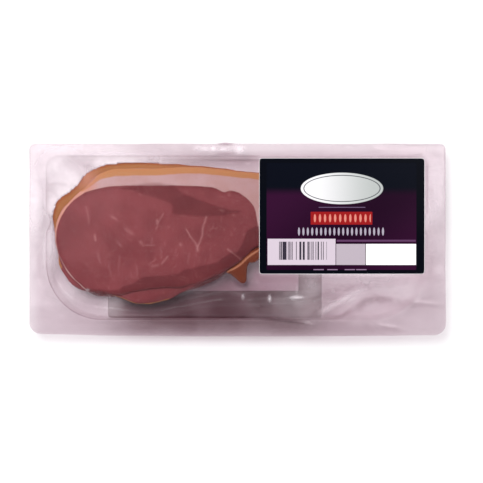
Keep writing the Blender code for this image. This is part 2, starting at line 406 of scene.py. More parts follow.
def filled(outline, rings, spacing, clear=0.55, skip=None):
    """Points and triangles that fill the outline, with edges along the outline and the rings.

    Between them the points lie on a triangular grid. skip(points) says which to leave out.
    """
    loops = [outline, *rings]
    low, high = outline.min(0), outline.max(0)
    rows = []
    for row, y in enumerate(np.arange(low[1], high[1], spacing * math.sqrt(3) / 2)):
        x = np.arange(low[0] + (row % 2) * spacing / 2, high[0], spacing)
        rows.append(np.column_stack((x, np.full(len(x), y))))
    grid = np.vstack(rows)
    grid = grid[is_inside(grid, outline)]
    for loop in loops:
        grid = grid[to_segments(grid, loop)[0] > clear * spacing]
    if skip is not None:
        grid = grid[~skip(grid)]
    points, edges = [], []
    for loop in loops:
        first = len(points)
        points.extend(map(tuple, loop))
        edges.extend((first + i, first + (i + 1) % len(loop)) for i in range(len(loop)))
    points.extend(map(tuple, grid))
    found = delaunay_2d_cdt([Vector(point) for point in points], edges, [], 1, 1e-5)
    vertices = np.array([tuple(vertex) for vertex in found[0]])
    return vertices, [tuple(face) for face in found[2]]


def border_of(faces):
    """The mesh's border as a list of directed edges (a, b), each used by one face only."""
    directed = set()
    for face in faces:
        directed.update(zip(face, face[1:] + face[:1]))
    return [(a, b) for a, b in directed if (b, a) not in directed]


def make_piece(name, points, faces, materials, attributes=None, smooth=True):
    mesh = bpy.data.meshes.new(name)
    mesh.from_pydata((np.asarray(points) * MM).tolist(), [], faces)
    mesh.validate()
    for key, values in (attributes or {}).items():
        layer = mesh.attributes.new(key, "FLOAT", "POINT")
        layer.data.foreach_set("value", np.asarray(values, np.float32))
    for made in materials:
        mesh.materials.append(made)
    if smooth:
        mesh.shade_smooth()
    piece = bpy.data.objects.new(name, mesh)
    bpy.context.scene.collection.objects.link(piece)
    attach(piece, "root")
    return piece


def slab(plan, faces, bottom, top, bulge=0.18):
    """A closed body between two heights over one plan, with a rounded side wall."""
    count = len(plan)
    border = border_of(faces)
    rim = sorted({a for a, _ in border})
    following = dict(border)
    before = {b: a for a, b in border}
    middle_of = {vertex: 2 * count + i for i, vertex in enumerate(rim)}
    middles = []
    for vertex in rim:
        along = plan[following[vertex]] - plan[before[vertex]]
        along /= max(np.linalg.norm(along), 1e-9)
        out = np.array((along[1], -along[0]))
        height = 0.5 * (bottom[vertex] + top[vertex])
        middles.append((*(plan[vertex] + bulge * out), height))
    points = np.vstack(
        (np.column_stack((plan, top)), np.column_stack((plan, bottom)), np.array(middles))
    )
    body = list(faces)
    body += [tuple(count + v for v in reversed(face)) for face in faces]
    for a, b in border:
        body.append((b, a, middle_of[a], middle_of[b]))
        body.append((middle_of[b], middle_of[a], count + a, count + b))
    return points, body, rim


# ---------------------------------------------------------------- shader helpers


def start_material(name):
    made = bpy.data.materials.new(name)
    made.use_nodes = True
    tree = made.node_tree
    tree.nodes.clear()
    return made, tree


def add(tree, kind, inputs=None, **settings):
    """Adds a node. inputs maps a socket's name or number to a value or to another socket."""
    made = tree.nodes.new(kind)
    for key, value in settings.items():
        setattr(made, key, value)
    for key, value in (inputs or {}).items():
        if isinstance(value, bpy.types.NodeSocket):
            tree.links.new(value, made.inputs[key])
        else:
            made.inputs[key].default_value = value
    return made


def calc(tree, operation, *values, clamp=False):
    made = add(
        tree, "ShaderNodeMath", dict(enumerate(values)), operation=operation, use_clamp=clamp
    )
    return made.outputs[0]


def band(tree, value, low, high):
    """0 below low, 1 above high, and smooth between them; high may be the lower one."""
    made = add(
        tree,
        "ShaderNodeMapRange",
        {"Value": value, "From Min": low, "From Max": high},
        interpolation_type="SMOOTHSTEP",
    )
    return made.outputs["Result"]


def blend_colours(tree, factor, first, second, blend_type="MIX"):
    made = add(
        tree,
        "ShaderNodeMix",
        {0: factor, 6: first, 7: second},
        data_type="RGBA",
        blend_type=blend_type,
    )
    return made.outputs[2]


def texture_noise(tree, where, scale, detail=2.0, roughness=0.5, distortion=0.0):
    made = add(
        tree,
        "ShaderNodeTexNoise",
        {
            "Vector": where,
            "Scale": scale,
            "Detail": detail,
            "Roughness": roughness,
            "Distortion": distortion,
        },
    )
    return made.outputs["Fac"]


def object_millimetres(tree, stretch=(1, 1, 1), turn=0.0):
    """The place on the object, in millimetres, turned about Z and stretched."""
    place = add(tree, "ShaderNodeTexCoord").outputs["Object"]
    scale = tuple(1 / MM / factor for factor in stretch)
    made = add(
        tree,
        "ShaderNodeMapping",
        {"Vector": place, "Rotation": (0, 0, turn), "Scale": scale},
    )
    return made.outputs[0]


def attribute(tree, name):
    return add(tree, "ShaderNodeAttribute", attribute_name=name).outputs["Fac"]


def srgb(red, green, blue):
    """A colour given as 0 to 255, as the linear colour that shaders take."""
    found = []
    for value in (red, green, blue):
        part = value / 255
        found.append(part / 12.92 if part <= 0.04045 else ((part + 0.055) / 1.055) ** 2.4)
    return (*found, 1.0)


def finish_material(tree, shader):
    add(tree, "ShaderNodeOutputMaterial", {"Surface": shader})


# ---------------------------------------------------------------- materials


def film_material(name, tint, haze):
    """Clear film: lets most light through, and mirrors more of it at a grazing angle.

    The attribute cling is 1 where the film lies on the food. milky_sheen makes the film duller and paler, as a
    painted reflection; white is painted glints; and shade makes it darker, as painted shade.
    """
    made, tree = start_material(name)
    cling = attribute(tree, "cling")
    facing = add(tree, "ShaderNodeLayerWeight", {"Blend": 0.5}).outputs["Facing"]
    mirror = calc(tree, "MULTIPLY_ADD", calc(tree, "POWER", facing, 5.0), 0.2, 0.04)
    mirror = calc(tree, "MULTIPLY", mirror, calc(tree, "MULTIPLY_ADD", cling, -0.8, 1.0))
    place = object_millimetres(tree)
    ripple = texture_noise(tree, place, 0.16, 3.0)
    bump = add(
        tree, "ShaderNodeBump", {"Height": ripple, "Strength": 0.12, "Distance": 0.0006}
    ).outputs[0]
    darker = tuple(part * share for part, share in zip(tint, (0.72, 0.64, 0.67, 1.0)))
    half_shade = calc(tree, "MULTIPLY", attribute(tree, "shade"), 0.5)
    through = blend_colours(tree, half_shade, tint, darker)
    clear = add(tree, "ShaderNodeBsdfTransparent", {"Color": through})
    gloss = add(
        tree, "ShaderNodeBsdfGlossy", {"Color": (1, 1, 1, 1), "Roughness": 0.14, "Normal": bump}
    )
    surface = add(
        tree, "ShaderNodeMixShader", {0: mirror, 1: clear.outputs[0], 2: gloss.outputs[0]}
    )
    cloud = texture_noise(tree, place, 0.05, 3.0)
    patchy = calc(tree, "MULTIPLY_ADD", band(tree, cloud, 0.3, 0.65), 0.4, 0.6)
    milky_sheen = calc(tree, "MULTIPLY", attribute(tree, "milky_sheen"), patchy)
    veil = calc(tree, "ADD", calc(tree, "MULTIPLY", band(tree, cloud, 0.3, 0.75), haze), milky_sheen)
    veil = calc(tree, "MULTIPLY", veil, calc(tree, "SUBTRACT", 1.0, cling))
    veil = calc(tree, "MAXIMUM", veil, attribute(tree, "white"))
    dull = add(tree, "ShaderNodeBsdfDiffuse", {"Color": (0.92, 0.84, 0.88, 1)})
    whole = add(
        tree, "ShaderNodeMixShader", {0: veil, 1: surface.outputs[0], 2: dull.outputs[0]}
    )
    finish_material(tree, whole.outputs[0])
    return made


def marbling(tree, place):
    """A broken network of very thin lines: the middle level of one noise, where another is high."""
    thin = texture_noise(tree, place, 0.11, 3.0, 0.62)
    line = band(tree, calc(tree, "ABSOLUTE", calc(tree, "SUBTRACT", thin, 0.5)), 0.016, 0.004)
    where = band(tree, texture_noise(tree, place, 0.19, 2.0), 0.5, 0.62)
    return calc(tree, "MULTIPLY", calc(tree, "MULTIPLY", line, where), 0.24)


def bacon_material():
    """Lean, fat and rind in one material. The attributes lean, rind, wet_and_shade and vein say where. wet_and_shade
    darkens where the film lies wetted on the lean, and elsewhere is painted shade and painted light: above 0 darker,
    below 0 lighter.
    """
    made, tree = start_material("bacon")
    place = object_millimetres(tree)
    mottle = texture_noise(tree, place, 0.06, 3.0, 0.55)
    grain = texture_noise(tree, place, 0.75, 3.0, 0.6)
    fibre_place = object_millimetres(tree, (0.9, 3.0, 1.0), 0.15)
    fibres = texture_noise(tree, fibre_place, 0.6, 3.0, 0.6, 0.5)
    wobble = calc(tree, "MULTIPLY_ADD", texture_noise(tree, place, 0.22, 3.0), 2.4, -1.2)

    lean = blend_colours(
        tree, band(tree, mottle, 0.3, 0.7), srgb(125, 61, 64), srgb(138, 70, 73)
    )
    pale = calc(tree, "MULTIPLY", band(tree, fibres, 0.56, 0.74), 0.22)
    lean = blend_colours(tree, pale, lean, srgb(172, 108, 106))
    deep = calc(tree, "MULTIPLY", band(tree, grain, 0.45, 0.25), 0.25)
    lean = blend_colours(tree, deep, lean, srgb(98, 40, 44))
    lean = blend_colours(tree, marbling(tree, place), lean, srgb(186, 130, 126))
    vein = calc(tree, "MULTIPLY", attribute(tree, "vein"), 0.62)
    lean = blend_colours(tree, vein, lean, srgb(196, 146, 142))

    fat = blend_colours(
        tree, band(tree, mottle, 0.35, 0.65), srgb(198, 168, 165), srgb(192, 158, 152)
    )
    meaty = calc(tree, "MULTIPLY", band(tree, grain, 0.5, 0.75), 0.3)
    fat = blend_colours(tree, meaty, fat, srgb(184, 136, 128))
    peach = calc(tree, "MULTIPLY", attribute(tree, "pale"), 0.85)
    fat = blend_colours(tree, peach, fat, srgb(206, 148, 128))
    share = calc(tree, "MULTIPLY_ADD", wobble, 0.3, attribute(tree, "lean"))
    share = band(tree, share, -0.35, 0.35)
    colour = blend_colours(tree, share, fat, lean)

    depth = calc(tree, "MULTIPLY_ADD", wobble, 0.06, attribute(tree, "rind"))
    rind = blend_colours(tree, band(tree, depth, 0.05, 0.5), srgb(164, 97, 58), srgb(174, 120, 74))
    rusty = calc(tree, "MULTIPLY", band(tree, mottle, 0.45, 0.7), 0.4)
    rind = blend_colours(tree, rusty, rind, srgb(154, 94, 54))
    rind = blend_colours(tree, attribute(tree, "golden"), rind, srgb(200, 146, 98))
    rind = blend_colours(tree, attribute(tree, "salmon"), rind, srgb(200, 144, 116))
    colour = blend_colours(tree, band(tree, depth, 1.12, 0.86), colour, rind)

    wet_and_shade = attribute(tree, "wet_and_shade")
    drop = [calc(tree, "MULTIPLY_ADD", wet_and_shade, -part, 1.0) for part in (0.46, 0.6, 0.58)]
    wet_and_shade_tint = add(tree, "ShaderNodeCombineColor", {0: drop[0], 1: drop[1], 2: drop[2]})
    colour = blend_colours(tree, 1.0, colour, wet_and_shade_tint.outputs[0], "MULTIPLY")

    height = calc(tree, "MULTIPLY_ADD", grain, 0.5, fibres)
    bump = add(
        tree, "ShaderNodeBump", {"Height": height, "Strength": 0.3, "Distance": 0.0003}
    ).outputs[0]
    meat = add(
        tree,
        "ShaderNodeBsdfPrincipled",
        {
            "Base Color": colour,
            "Roughness": calc(tree, "MULTIPLY_ADD", share, -0.06, 0.55),
            "Subsurface Weight": 0.10,
            "Subsurface Radius": (0.004, 0.0015, 0.001),
            "Subsurface Scale": 0.6,
            "Specular IOR Level": 0.3,
            "Normal": bump,
        },
    )
    finish_material(tree, meat.outputs[0])
    return made


class Print:
    """A flat print, painted field by field. u runs right and v down, in millimetres."""

    def __init__(self, name, low, high):
        self.made, self.tree = start_material(name)
        place = add(self.tree, "ShaderNodeSeparateXYZ", {0: object_millimetres(self.tree)})
        self.u = calc(self.tree, "SUBTRACT", place.outputs[0], float(low[0]))
        self.v = calc(self.tree, "SUBTRACT", float(high[1]), place.outputs[1])
        self.width = float(high[0] - low[0])
        self.height = float(high[1] - low[1])
        self.colour = None

    def box(self, u0, u1, v0, v1, radius=0.0, soft=0.06):
        """1 in a box with rounded corners, 0 outside it."""
        across = calc(self.tree, "ABSOLUTE", calc(self.tree, "SUBTRACT", self.u, (u0 + u1) / 2))
        down = calc(self.tree, "ABSOLUTE", calc(self.tree, "SUBTRACT", self.v, (v0 + v1) / 2))
        across = calc(self.tree, "SUBTRACT", across, (u1 - u0) / 2 - radius)
        down = calc(self.tree, "SUBTRACT", down, (v1 - v0) / 2 - radius)
        corner = add(
            self.tree,
            "ShaderNodeCombineXYZ",
            {0: calc(self.tree, "MAXIMUM", across, 0.0), 1: calc(self.tree, "MAXIMUM", down, 0.0)},
        )
        length = add(
            self.tree, "ShaderNodeVectorMath", {0: corner.outputs[0]}, operation="LENGTH"
        ).outputs["Value"]
        inner = calc(self.tree, "MINIMUM", calc(self.tree, "MAXIMUM", across, down), 0.0)
        distance = calc(self.tree, "SUBTRACT", calc(self.tree, "ADD", length, inner), radius)
        return band(self.tree, distance, soft, -soft)

    def oval(self, u, v, across, down, soft=0.02):
        """1 in an ellipse, 0 outside it; soft is a share of its size."""
        x = calc(self.tree, "DIVIDE", calc(self.tree, "SUBTRACT", self.u, u), across)
        y = calc(self.tree, "DIVIDE", calc(self.tree, "SUBTRACT", self.v, v), down)
        square = calc(self.tree, "ADD", calc(self.tree, "POWER", calc(self.tree, "ABSOLUTE", x), 2.0),
                      calc(self.tree, "POWER", calc(self.tree, "ABSOLUTE", y), 2.0))
        return band(self.tree, square, 1 + soft, 1 - soft)

    def bars(self, start, module):
        """1 on the dark bars of a row of bars of random widths."""
        cell = calc(self.tree, "FLOOR", calc(self.tree, "DIVIDE", calc(self.tree, "SUBTRACT", self.u, start), module))
        random = add(self.tree, "ShaderNodeTexWhiteNoise", {"W": cell}, noise_dimensions="1D")
        return calc(self.tree, "GREATER_THAN", random.outputs["Value"], 0.5)

    def beads(self, v, pitch, half_width, half_height):
        """1 in each of a row of upright ovals along v."""
        along = calc(self.tree, "PINGPONG", self.u, pitch / 2)
        across = calc(self.tree, "DIVIDE", along, half_width)
        down = calc(self.tree, "DIVIDE", calc(self.tree, "SUBTRACT", self.v, v), half_height)
        place = add(self.tree, "ShaderNodeCombineXYZ", {0: across, 1: down})
        length = add(
            self.tree, "ShaderNodeVectorMath", {0: place.outputs[0]}, operation="LENGTH"
        ).outputs["Value"]
        return band(self.tree, length, 1.12, 0.88)

    def fill(self, mask, colour):
        self.colour = blend_colours(self.tree, mask, self.colour, colour)

    def finished(self, roughness):
        shader = add(
            self.tree,
            "ShaderNodeBsdfPrincipled",
            {"Base Color": self.colour, "Roughness": roughness, "Specular IOR Level": 0.06},
        )
        finish_material(self.tree, shader.outputs[0])
        return self.made


def front_print_material():
    """A dark label: navy above, purple below, a bare silver oval, a red bar and blank panels."""
    ink = Print("front_print", FRONT_LOW, FRONT_HIGH)
    tree = ink.tree
    navy, deep, purple = srgb(5, 8, 20), srgb(30, 3, 28), srgb(48, 12, 43)
    lower = band(tree, ink.v, 17.5, 24.0)
    slant = calc(tree, "ADD", calc(tree, "MULTIPLY", ink.u, 0.045), calc(tree, "MULTIPLY", ink.v, 0.05))
    sheen = calc(tree, "MULTIPLY_ADD", calc(tree, "SINE", slant), 0.5, 0.5)
    violet = blend_colours(tree, sheen, deep, purple)
    ink.colour = blend_colours(tree, lower, navy, violet)
    frame_mask = calc(
        tree, "SUBTRACT", 1.0, ink.box(4.6, ink.width - 5.2, 3.0, ink.height - 2.6, 0.8, 0.15)
    )
    ink.fill(frame_mask, srgb(3, 5, 14))

    silver = blend_colours(
        tree, band(tree, ink.u, 26.0, 76.0), srgb(236, 234, 236), srgb(176, 180, 178)
    )
    ink.fill(ink.oval(51.5, 18.9, 25.6, 9.8), silver)
    ring = calc(tree, "SUBTRACT", ink.oval(51.5, 18.9, 24.0, 8.4), ink.oval(51.5, 18.9, 23.4, 7.9))
    ink.fill(ring, srgb(70, 72, 78))

    ink.fill(ink.box(37.0, 66.0, 30.4, 30.9), srgb(104, 84, 112))
    ink.fill(ink.box(32.0, 70.4, 33.4, 41.4, 0.3), srgb(146, 24, 26))
    ink.fill(
        calc(tree, "MULTIPLY", ink.beads(37.4, 3.15, 0.72, 2.5), ink.box(33.4, 69.4, 34.0, 41.0)),
        srgb(214, 132, 118),
    )
    ink.fill(
        calc(tree, "MULTIPLY", ink.beads(45.7, 2.75, 0.66, 2.5), ink.box(24.0, 78.6, 42.6, 48.8)),
        srgb(168, 160, 174),
    )

    ink.fill(ink.box(5.2, 47.5, 50.2, 66.5), srgb(204, 190, 202))
    bar_field = ink.box(12.4, 42.0, 52.0, 63.3)
    ink.fill(calc(tree, "MULTIPLY", bar_field, ink.bars(12.4, 0.42)), srgb(52, 46, 58))
    ink.fill(ink.box(48.2, 97.4, 50.8, 52.0), srgb(92, 58, 92))
    ink.fill(ink.box(47.9, 66.0, 53.4, 66.5), srgb(180, 168, 178))
    ink.fill(ink.box(66.4, 97.6, 53.4, 66.5), srgb(252, 252, 252))
    for start in (33.8, 42.4, 53.2, 60.4):
        ink.fill(ink.box(start, start + 6.4, 69.1, 69.7), srgb(140, 112, 140))
    return ink.finished(0.22)


def rear_print_material():
    """The printed side of the rear label, seen from below: a dark margin and a pale panel."""
    ink = Print("rear_print", REAR_LOW, REAR_HIGH)
    ink.colour = srgb(28, 14, 34)
    ink.fill(ink.box(14.6, ink.width - 14.6, 15.3, ink.height - 15.3, 1.0), srgb(228, 222, 226))
    for row in range(9):
        v = 20.0 + 4.2 * row
        ink.fill(ink.box(19.0, 62.0 - 6 * (row % 3), v, v + 0.5), srgb(120, 112, 124))
        ink.fill(ink.box(72.0, 116.0 - 5 * (row % 2), v, v + 0.5), srgb(120, 112, 124))
    return ink.finished(0.45)


def rear_back_material():
    """The stuck side of the rear label, seen through the films: its print shows through, darkened further by painted
    shade from the rashers above.
    """
    ink = Print("rear_back", REAR_LOW, REAR_HIGH)
    tree = ink.tree
    mottle = texture_noise(tree, object_millimetres(tree), 0.05, 3.0)
    ink.colour = blend_colours(tree, band(tree, mottle, 0.3, 0.7), srgb(99, 73, 77), srgb(112, 86, 90))
    # Painted light: the margin is lighter towards both ends, out of the rashers' shade.
    for start, end in ((ink.width - 20, ink.width - 3), (30, 2)):
        lit_ends = calc(tree, "MULTIPLY", band(tree, ink.u, start, end), 0.6)
        ink.fill(lit_ends, srgb(166, 144, 147))
    # Painted shade: the pale panel is darker towards the left, under the rashers.
    panel = blend_colours(
        tree, band(tree, ink.u, 74, 108), srgb(166, 140, 147), srgb(198, 178, 186)
    )
    ink.fill(ink.box(14.6, ink.width - 14.6, 15.3, ink.height - 17.2, 0.6), panel)
    return ink.finished(0.6)


def plain_material(name, colour, roughness):
    made, tree = start_material(name)
    fleck = texture_noise(tree, object_millimetres(tree), 2.0, 2.0)
    shade = blend_colours(tree, calc(tree, "MULTIPLY", fleck, 0.06), colour, (0.5, 0.45, 0.48, 1))
    shader = add(tree, "ShaderNodeBsdfPrincipled", {"Base Color": shade, "Roughness": roughness})
    finish_material(tree, shader.outputs[0])
    return made


# ---------------------------------------------------------------- rashers

# Where the lean is darker: the film lies wetted on it, and the dark parts of the film's reflection are painted in. A
# wedge and a strip on the top rasher.
WET_SHADE_WEDGE = (
    (-73.9, 32.6), (-63.9, 35.0), (-51.4, 36.0), (-40.2, 34.6), (-33.6, 29.2), (-24.7, 25.7),
    (-15.9, 23.0), (-6.9, 19.9), (4.7, 18.2), (-6.9, 15.9), (-15.9, 14.7), (-21.1, 14.7),
    (-29.2, 15.5), (-39.8, 16.3), (-40.8, 21.3), (-43.4, 24.0), (-51.4, 26.1), (-56.8, 28.4),
    (-63.9, 30.6),
)
WET_SHADE_STRIP = (
    (-95.0, -30.6), (-84.5, -30.5), (-74.6, -30.5), (-71.0, -28.2), (-63.9, -25.9),
    (-60.4, -23.3), (-56.8, -22.0), (-48.8, -21.5), (-38.1, -20.6), (-33.6, -18.4),
    (-24.7, -16.1), (-14.0, -13.4), (-8.7, -10.8), (-4.2, -7.2), (0.2, -6.4), (3.6, 0.0),
    (5.2, 5.4), (8.6, 7.8), (13.5, 9.5), (22.0, 8.0), (22.0, -6.0), (4.0, -24.0), (-20.0, -36.0),
    (-60.0, -42.0), (-96.0, -38.0),
)
# Thin pale lines and flecks of fat in the top rasher's eye: width, strength and places.
VEINS = (
    (0.45, 0.8, ((-19.4, 15.0), (-20.3, 11.5), (-21.6, 7.9), (-22.1, 2.6), (-24.7, -3.7))),
    (0.45, 0.7, ((-31.9, 7.0), (-29.2, 2.6), (-26.1, -1.9), (-24.9, -5.0))),
    (0.75, 0.8, ((-24.9, -3.4), (-24.8, -6.2))),
    (0.6, 0.8, ((-88.9, 3.4), (-88.4, -0.1))),
    (0.5, 0.35, ((-94.2, 21.3), (-93.0, 15.0), (-92.4, 10.5))),
    (0.9, 0.4, ((-78.2, 15.0), (-75.5, 13.2))),
    (1.2, 0.35, ((-69.3, 7.0), (-65.8, 4.3))),
    (0.8, 0.6, ((-50.0, 12.4), (-49.8, 10.4))),
    (0.4, 0.45, ((-46.1, 16.8), (-49.0, 12.0), (-50.6, 7.0))),
    (0.5, 0.35, ((-53.3, 1.6), (-53.4, -2.8))),
    (0.5, 0.4, ((-58.6, -2.8), (-52.3, -2.9))),
    (0.9, 0.5, ((-60.4, -0.9), (-60.0, -1.6))),
    (0.9, 0.5, ((-35.4, -2.2), (-35.4, -2.9))),
    (0.5, 0.6, ((-43.4, -9.9), (-47.1, -14.4))),
    (0.8, 0.35, ((-53.3, -16.1), (-49.6, -15.3))),
    (0.5, 0.4, ((-75.5, -0.1), (-72.0, -3.7))),
    (0.5, 0.45, ((-87.0, -7.2), (-86.2, -11.0), (-85.7, -13.4))),
    (0.5, 0.4, ((-102.2, 6.1), (-101.6, 5.6))),
    (0.4, 0.3, ((-73.3, -9.7), (-73.9, -17.1))),
    (0.4, 0.3, ((-63.0, -16.1), (-62.1, -21.5))),
    (0.4, 0.3, ((-47.9, -4.6), (-47.4, -10.9))),
    (0.5, 0.75, ((-6.0, -5.5), (-2.4, -8.2), (2.0, -11.7), (2.6, -13.6))),
    (0.7, 0.45, ((-10.9, 18.9), (-8.9, 18.4))),
    (0.5, 0.25, ((-30.0, -8.0), (-31.0, -14.0))),
    (0.5, 0.25, ((-80.0, -16.0), (-78.6, -22.0))),
)
RIND_END = (-97.0, 30.0)


def rind_depth(points, outline, number):
    """Depth from the rind's outer edge as a share of its width there: below 1 is rind."""
    start = np.argmin(((outline - (104.0, 13.0)) ** 2).sum(1))
    outline = np.roll(outline, -start, axis=0)
    stop = (-114.5, 12.0) if number == len(STACK) - 2 else RIND_END
    last = np.argmin(((outline - stop) ** 2).sum(1))
    line = outline[: last + 1]
    share = np.linspace(0, 1, len(line))
    if number == len(STACK) - 2:
        width = np.interp(share, (0, 0.05, 0.6, 0.8, 0.92, 1), (0.5, 3.4, 3.2, 4.2, 6.2, 4.0))
    else:
        width = np.interp(share, (0, 0.05, 0.6, 0.9, 1), (0.5, 3.2, 3.8, 4.4, 0.8))
    distance, nearest, part = to_segments(points, line, closed=False)
    here = width[nearest] * (1 - part) + width[nearest + 1] * part
    return distance / here


# Edges of the second rasher that show a thin orange line.
ORANGE_EDGES = (
    ((-78.0, -34.4), (-71.0, -36.6), (-67.0, -38.4), (-62.2, -39.8), (-55.0, -39.6),
     (-49.6, -38.7), (-42.7, -36.7)),
    ((-112.2, -9.0), (-111.5, -13.2), (-109.8, -17.0)),
)


def orange_edge(points):
    """Share of depth, as for the rind, in the thin orange edges of the second rasher."""
    gaps = [to_segments(points, smooth_open(line), closed=False)[0] for line in ORANGE_EDGES]
    return 0.5 + np.minimum(*gaps) / 1.3


def vein_strength(points):
    strength = np.zeros(len(points))
    for width, strongest, places in VEINS:
        line = smooth_open(places, 6)
        gap = to_segments(points, line, closed=False)[0]
        strength = np.maximum(strength, strongest * np.exp(-((gap / width) ** 2)))
    return strength


def rasher_attributes(points, number):
    _, shift, turn, _ = STACK[number]
    outline = smooth_closed(placed(EYE, shift, turn))
    if number < len(STACK) - 1:
        outline = pulled(outline, ((-62.0, -36.0, 34.0, 0.0, -9.0), (-106.0, -20.0, 16.0, -9.0, -6.0)))
    eye = depth_in(points, outline)
    streak = depth_in(points, smooth_closed(placed(TAIL_STREAK, shift, turn)))
    wet_and_shade = np.zeros(len(points))
    vein = np.zeros(len(points))
    corner = ((points[:, 0] + 93.5) / 7) ** 2 + ((points[:, 1] - 38) / 7) ** 2
    salmon = np.exp(-corner)
    left_side = smoothstep(points[:, 0], -84.0, -94.0)
    pale = left_side * smoothstep(points[:, 1], -12.0, 6.0)
    golden = 0.75 * (number == len(STACK) - 1) * (1 - 0.6 * left_side)
    golden = np.full(len(points), 0.0) + golden
    # Painted light and shade: the top rasher's lean is darker to the right and lighter to the upper left.
    gradient = 0.26 * smoothstep(points[:, 0], -40.0, 15.0)
    gradient -= 0.22 * np.exp(-(((points[:, 0] + 88) / 26) ** 2) - ((points[:, 1] - 20) / 16) ** 2)
    if number == len(STACK) - 1:
        ragged = 0.5 * wander(points, 6.0, 81.0)
        for area in (WET_SHADE_WEDGE, WET_SHADE_STRIP):
            depth = depth_in(points, smooth_closed(area)) + ragged
            wet_and_shade = np.maximum(wet_and_shade, (0.62 if area is WET_SHADE_WEDGE else 0.72) * smoothstep(depth, -0.5, 0.9))
        vein = vein_strength(points)
        upper_edge = np.exp(-(((eye - 0.9) / 0.8) ** 2)) * smoothstep(points[:, 1], 24.0, 31.0)
        wet_and_shade = np.maximum(wet_and_shade, 0.35 * upper_edge) + gradient
    else:
        # The lower rashers are a little darker all over, and lighter near the left strip, painted light against its
        # shade.
        near_strip = ((points[:, 0] + 106) / 9) ** 2 + ((points[:, 1] + 22) / 10) ** 2
        wet_and_shade = 0.1 - 0.5 * np.exp(-near_strip)
    rind = np.minimum(rind_depth(points, OUTLINES[number], number), 5.0)
    if number == len(STACK) - 2:
        rind = np.minimum(rind, orange_edge(points))
    return {
        "lean": np.maximum(eye, streak),
        "rind": rind,
        "wet_and_shade": wet_and_shade,
        "vein": vein,
        "pale": pale,
        "golden": golden,
        "salmon": salmon,
    }


def make_rasher(number, bacon):
    outline = OUTLINES[number]
    top_one = number == len(STACK) - 1
    spacing = 0.85 if top_one else 2.0
    rings = [evenly(offset(outline, -0.5), spacing), evenly(offset(outline, -1.3), spacing)]
    plan, faces = filled(outline, rings, spacing)
    under, over = stack_heights(plan)[0][number]
    relief = 0.05 * wander(plan, 2.6, 90.0 + number) + 0.05 * wander(plan, 6.0, 95.0 + number)
    depth = to_segments(plan, outline)[0]
    relief *= smoothstep(depth, 0.2, 1.5)
    bottom = under + 0.03
    top = over - 0.03 + (relief if top_one else 0)
    points, body, rim = slab(plan, faces, bottom, top)
    attributes = rasher_attributes(plan, number)
    doubled = {key: np.concatenate((v, v, v[rim])) for key, v in attributes.items()}
    piece = make_piece(f"rasher_{number + 1}", points, body, [bacon], doubled)
    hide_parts("sealed_pack")
    return piece


FLAP = (
    (-6.6, -19.2), (-3.8, -21.2), (-0.9, -23.6), (1.6, -25.9), (3.7, -26.6), (5.3, -25.0),
    (5.6, -20.9), (6.0, -16.4), (7.2, -13.8), (9.2, -13.8), (12.0, -12.6), (14.4, -9.7),
    (14.6, -4.0), (6.0, -8.4), (0.6, -13.2),
)
FLAP_EDGE = ((-8.0, -20.0), (-2.0, -17.4), (2.0, -14.8), (5.5, -11.4), (9.0, -8.7), (14.0, -5.4))


def flap_heights(points, outline):
    """Underside and top of the flap."""
    lift = 12.0 + 0.14 * (points[:, 1] + 20) + 0.6 * wander(points, 8.0, 7)
    depth = depth_in(points, outline)
    return lift - 0.9, lift + 0.8 * smoothstep(depth, -0.4, 2.0)


def packed_top(points):
    """The top of the rashers and the flap, which hold the lid film up."""
    surface = stack_heights(points)[1]
    outline = smooth_closed(FLAP, 6)
    top = flap_heights(points, outline)[1]
    return np.where(depth_in(points, outline) > -0.3, np.maximum(surface, top), surface)


def make_flap(bacon):
    """The folded end of a lower rasher's rind, which shows at the lean edge."""
    outline = evenly(smooth_closed(FLAP, 6), 0.7)
    plan, faces = filled(outline, [evenly(offset(outline, -0.8), 0.8)], 0.7)
    under, top = flap_heights(plan, outline)
    points, body, rim = slab(plan, faces, under, top)
    count = len(plan)
    from_edge = to_segments(plan, smooth_open(FLAP_EDGE), closed=False)[0]
    values = {
        "lean": np.full(count, -2.0),
        "rind": np.full(count, 0.4) + 0.2 * wander(plan, 4.0, 8),
        # Painted shade: the flap is darker away from its edge.
        "wet_and_shade": 0.3 + 1.0 * smoothstep(from_edge, 0.3, 0.8),
        "vein": np.zeros(count),
        "pale": np.zeros(count),
        "golden": np.zeros(count),
        "salmon": 0.6 * smoothstep(from_edge, 0.8, 0.3),
    }
    doubled = {key: np.concatenate((v, v, v[rim])) for key, v in values.items()}
    piece = make_piece("tail_flap", points, body, [bacon], doubled)
    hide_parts("sealed_pack")
    return piece


# ---------------------------------------------------------------- films

